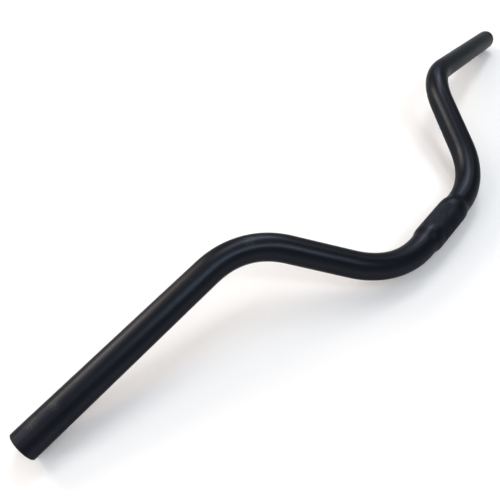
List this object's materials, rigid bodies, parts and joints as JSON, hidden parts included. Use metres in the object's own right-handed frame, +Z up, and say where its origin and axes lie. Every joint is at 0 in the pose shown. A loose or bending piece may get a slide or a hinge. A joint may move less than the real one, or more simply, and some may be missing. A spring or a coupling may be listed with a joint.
{
  "type": "bicycle handlebar",
  "caption": "Black riser handlebar for a bicycle, one bent tube with a thicker knurled clamp zone, rising and swept-back straight grips and open ends.",
  "frame": {"origin": "middle of the clamp zone, on the tube's axis", "axes": "+X across the bar, towards the grip that the rider holds with the left hand; +Z up as the bar lies on a surface, on the clamp zone and both tips; the rise runs towards +Y, tilted 20 degrees up"},
  "size_m": [0.692, 0.1334, 0.0554],
  "materials": {
    "black_anodised": "satin black anodised, with a fine diamond knurl round the clamp zone"
  },
  "bodies": {
    "root": {"handlebar": "black_anodised"}
  },
  "joints": []
}
